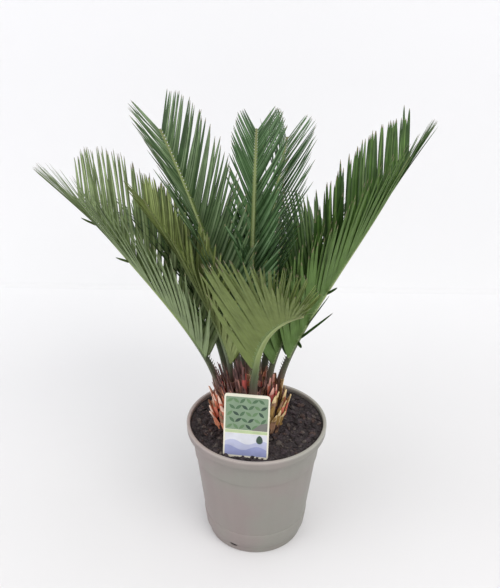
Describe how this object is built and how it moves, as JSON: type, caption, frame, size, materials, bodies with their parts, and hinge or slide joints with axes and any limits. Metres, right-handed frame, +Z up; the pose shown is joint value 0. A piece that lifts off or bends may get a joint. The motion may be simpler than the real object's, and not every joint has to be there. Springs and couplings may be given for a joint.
{
  "type": "potted sago palm",
  "caption": "Young sago palm with a swollen scaly caudex and stiff arching pinnate fronds, in a tapered plastic nursery pot with a plant tag.",
  "frame": {"origin": "middle of the pot's flat underside, on the floor", "axes": "+Z up the plant, -Y towards the picture's viewer, +X to the viewer's right"},
  "size_m": [0.5456, 0.5609, 0.5869],
  "materials": {
    "pot_plastic": "satin moulded",
    "compost": "rough, moist bark compost",
    "caudex_scales": "rough, scaly",
    "frond_green": "leathery, satin",
    "tag_card": "printed, satin"
  },
  "bodies": {
    "root": {"pot": "pot_plastic", "compost": "compost", "caudex": "caudex_scales", "plant_tag": "tag_card", "frond_far_left": "frond_green", "frond_back_left": "frond_green", "frond_far_right": "frond_green", "frond_back_centre": "frond_green", "frond_back_right": "frond_green", "frond_front": "frond_green", "frond_middle_left": "frond_green", "frond_middle_right": "frond_green", "frond_rear_left": "frond_green", "frond_rear": "frond_green", "frond_rear_right": "frond_green"}
  },
  "joints": []
}
